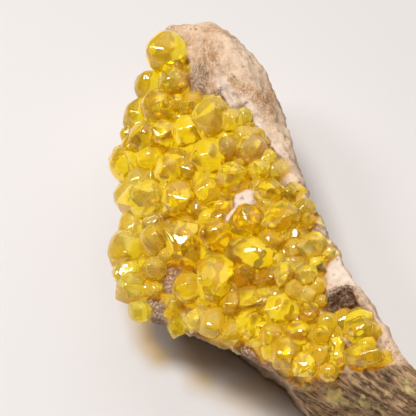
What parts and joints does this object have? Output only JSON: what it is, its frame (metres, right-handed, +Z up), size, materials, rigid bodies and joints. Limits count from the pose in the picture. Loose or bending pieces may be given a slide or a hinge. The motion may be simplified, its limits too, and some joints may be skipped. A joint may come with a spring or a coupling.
{
  "type": "native sulfur crystals on matrix",
  "caption": "Wedge of tan marly limestone that rests on a flat underside, its sloping upper face crowded with rounded, glassy yellow sulfur crystals.",
  "frame": {"origin": "on the flat resting facet under the rock, below the middle of the specimen", "axes": "+X along the specimen from its far tip to its broken near end, +Y away from the crystal face towards the rock's back, +Z up"},
  "size_m": [0.0902, 0.0379, 0.0294],
  "materials": {
    "limestone": "rough broken marly limestone, tan to grey-brown, matt",
    "sulfur": "clear to slightly milky lemon and golden yellow crystal, resinous gloss"
  },
  "bodies": {
    "root": {"angular_corner_crystals": "sulfur", "big_faceted_crystal": "sulfur", "buried_tip_crystal": "sulfur", "centre_crystals": "sulfur", "dark_prism_crystals_1": "sulfur", "dark_prism_crystals_2": "sulfur", "greenish_crystal": "sulfur", "left_flank_crystals": "sulfur", "left_rim_crystals": "sulfur", "left_shoulder_crystals": "sulfur", "long_drop_crystal": "sulfur", "lower_edge_crystals": "sulfur", "lower_left_crystal": "sulfur", "lower_left_rim_crystals_1": "sulfur", "lower_left_rim_crystals_2": "sulfur", "lower_left_rim_crystals_3": "sulfur", "lower_middle_crystals_1": "sulfur", "lower_middle_crystals_2": "sulfur", "lower_middle_crystals_3": "sulfur", "lower_right_crystals_1": "sulfur", "lower_right_crystals_2": "sulfur", "lower_right_crystals_3": "sulfur", "lying_crystals": "sulfur", "matrix_rock": "limestone", "middle_left_crystals": "sulfur", "near_ridge_crystal": "sulfur", "pale_ledge_crystals": "sulfur", "ridge_crystals_1": "sulfur", "ridge_crystals_2": "sulfur", "ridge_shelf_crystal": "sulfur", "ridge_top_crystals": "sulfur", "round_crystal": "sulfur", "shelf_block_crystals": "sulfur", "slot_floor_crystals": "sulfur", "slot_side_crystals": "sulfur", "tip_crystal": "sulfur", "upper_pair_crystals_1": "sulfur", "upper_pair_crystals_2": "sulfur", "upper_ridge_crystals_1": "sulfur", "upper_ridge_crystals_2": "sulfur", "upper_rim_crystals": "sulfur"}
  },
  "joints": []
}
